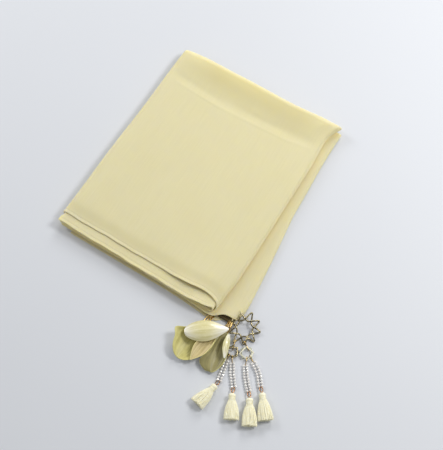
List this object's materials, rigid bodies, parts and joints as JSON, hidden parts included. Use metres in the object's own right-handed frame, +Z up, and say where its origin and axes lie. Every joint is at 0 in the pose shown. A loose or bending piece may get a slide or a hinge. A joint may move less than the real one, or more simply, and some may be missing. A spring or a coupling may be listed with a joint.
{
  "type": "folded hijab with a flower and tassel ornament",
  "caption": "Pale yellow crepe hijab folded into a flat packet, with a flower, wire stars, bead strands and tassels sewn to one corner.",
  "frame": {"origin": "on the table, under the middle of the folded packet", "axes": "+Z up; +Y along the packet's long edge, away from the ornament; +X along its short edge, towards the side where the laps' folds show"},
  "size_m": [0.2793, 0.3197, 0.0147],
  "materials": {
    "crepe": "matte crepe with a slight sheen",
    "pearl_petal": "pearl leatherette, satin",
    "gold_wire": "polished gold plate",
    "sewing_thread": "matte thread",
    "clear_bead": "faceted, glossy",
    "tassel_yarn": "silky yarn"
  },
  "bodies": {
    "root": {"top_lap": "crepe", "second_lap": "crepe", "under_lap": "crepe", "packed_layers": "crepe", "petal_top": "pearl_petal", "petal_left": "pearl_petal", "petal_middle": "pearl_petal", "petal_right": "pearl_petal", "petal_side": "pearl_petal", "stem_left": "gold_wire", "stem_right": "gold_wire", "star_ring": "gold_wire", "small_star_1": "gold_wire", "small_star_2": "gold_wire", "link_ring_1": "gold_wire", "link_ring_2": "gold_wire", "link_strand_1": "gold_wire", "link_strand_2": "gold_wire", "link_strand_3": "gold_wire", "link_strand_4": "gold_wire", "link_tassel_1": "gold_wire", "link_tassel_2": "gold_wire", "link_tassel_3": "gold_wire", "link_tassel_4": "gold_wire", "sewn_loop": "sewing_thread", "bead_strand_1": "clear_bead", "bead_strand_2": "clear_bead", "bead_strand_3": "clear_bead", "bead_strand_4": "clear_bead", "tassel_1": "tassel_yarn", "tassel_2": "tassel_yarn", "tassel_3": "tassel_yarn", "tassel_4": "tassel_yarn"}
  },
  "joints": []
}
